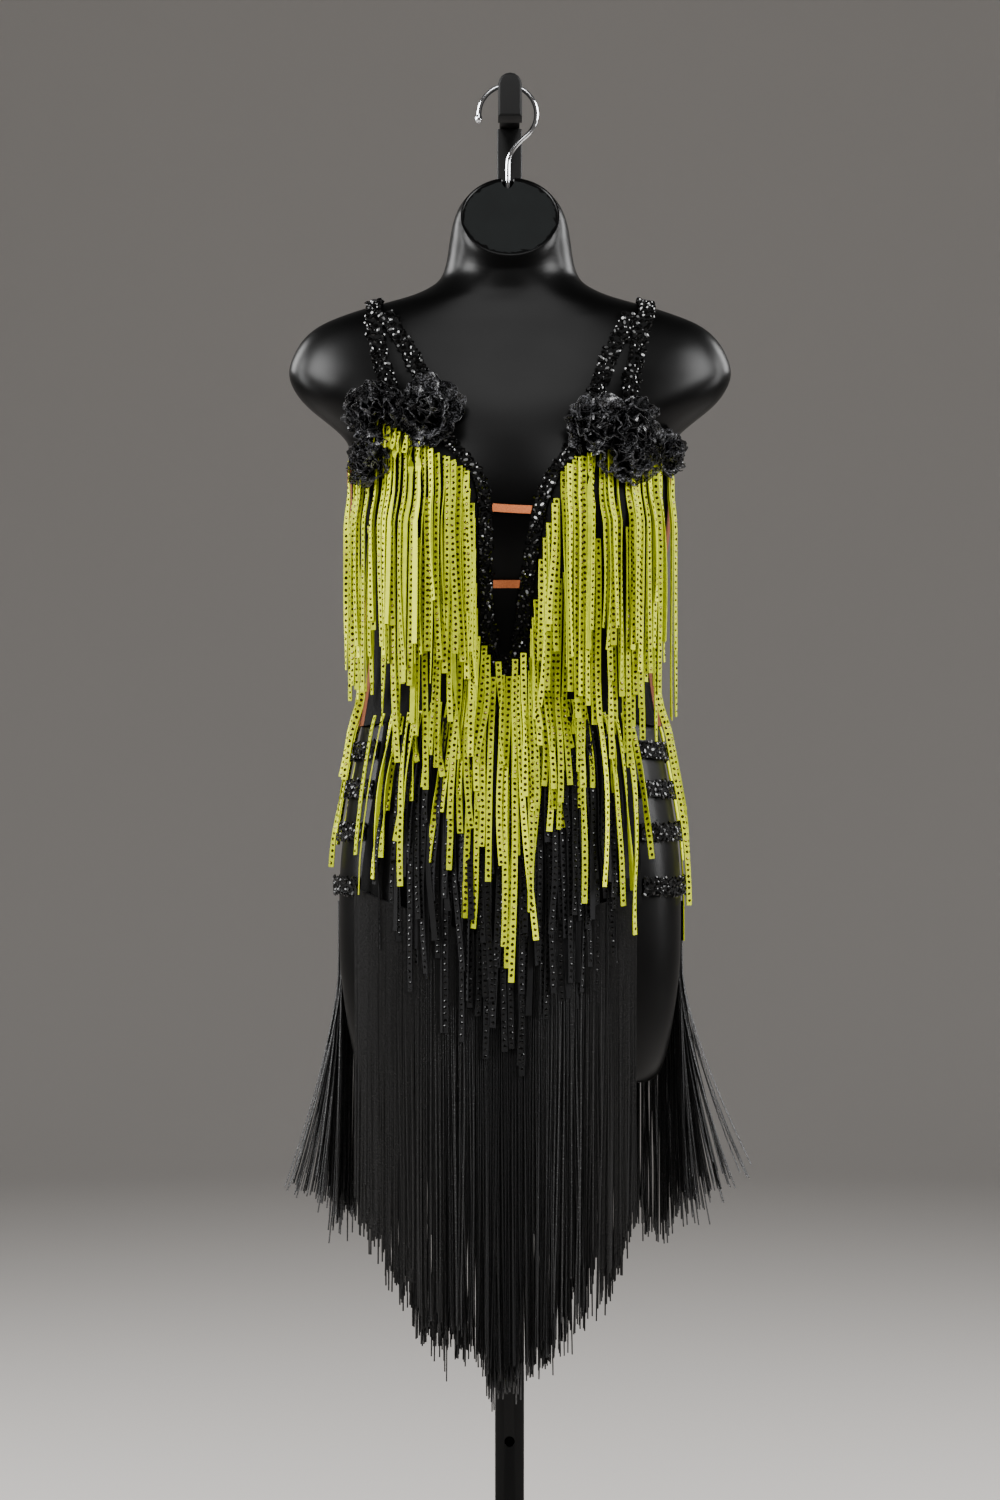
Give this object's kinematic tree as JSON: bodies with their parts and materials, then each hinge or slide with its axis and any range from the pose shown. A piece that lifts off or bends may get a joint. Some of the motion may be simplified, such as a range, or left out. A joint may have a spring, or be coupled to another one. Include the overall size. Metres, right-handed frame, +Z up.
{
  "type": "latin dance dress on a limbless hanging dress form and stand",
  "caption": "Fringed latin dance dress, deep V front with rosettes and hip cut-outs, worn on a limbless form that hangs by its hook from a telescoping stand.",
  "frame": {"origin": "centre of the underside of the stand's base plate, on the floor", "axes": "+Z up along the post, -Y the way the dress faces, +X to the right of someone facing the dress"},
  "size_m": [0.4245, 0.3883, 1.62],
  "materials": {
    "painted_steel": "satin powder coat",
    "rubber": "matte moulded rubber",
    "chrome": "polished chrome plate",
    "form_plastic": "satin moulded plastic with soft highlights",
    "nude_mesh": "fine nude stretch mesh and elastic",
    "black_cloth": "matte stretch knit",
    "stone_trim": "cloth band covered in faceted black stones",
    "organza": "crisp sheer organza",
    "lime_ribbon": "brushed faux suede with small dark stones",
    "black_ribbon": "brushed faux suede with small dark stones",
    "black_fringe": "rayon chainette with a soft sheen"
  },
  "bodies": {
    "stand": {"base_plate": "painted_steel", "clamp_collar": "painted_steel", "clamp_knob": "rubber", "outer_tube": "painted_steel"},
    "hung": {"black_fringe_back": "black_fringe", "black_fringe_front": "black_fringe", "black_ribbon_fringe_front": "black_ribbon", "bodice_back": "black_cloth", "bodice_front_left": "black_cloth", "bodice_front_right": "black_cloth", "bodice_side_left": "nude_mesh", "bodice_side_right": "nude_mesh", "form": "form_plastic", "head_arm": "painted_steel", "head_sleeve": "rubber", "hook": "chrome", "inner_tube": "painted_steel", "lime_fringe_bust_left": "lime_ribbon", "lime_fringe_bust_right": "lime_ribbon", "lime_fringe_skirt_back": "lime_ribbon", "lime_fringe_skirt_front": "lime_ribbon", "lime_fringe_waist_left": "lime_ribbon", "lime_fringe_waist_right": "lime_ribbon", "neckline_bar_lower": "nude_mesh", "neckline_bar_upper": "nude_mesh", "neckline_trim_left": "stone_trim", "neckline_trim_right": "stone_trim", "rose_left_1": "organza", "rose_left_2": "organza", "rose_left_3": "organza", "rose_right_1": "organza", "rose_right_2": "organza", "rose_right_3": "organza", "rose_right_4": "organza", "side_band_left_1": "stone_trim", "side_band_left_2": "stone_trim", "side_band_left_3": "stone_trim", "side_band_left_4": "stone_trim", "side_band_right_1": "stone_trim", "side_band_right_2": "stone_trim", "side_band_right_3": "stone_trim", "side_band_right_4": "stone_trim", "skirt_back": "black_cloth", "skirt_front": "black_cloth", "strap_left_inner": "stone_trim", "strap_left_outer": "stone_trim", "strap_right_inner": "stone_trim", "strap_right_outer": "stone_trim"}
  },
  "joints": [
    {"name": "height_slide", "type": "slide", "parent": "stand", "child": "hung", "axis": [0, 0, 1], "range_m": [-0.3, 0.15]}
  ]
}
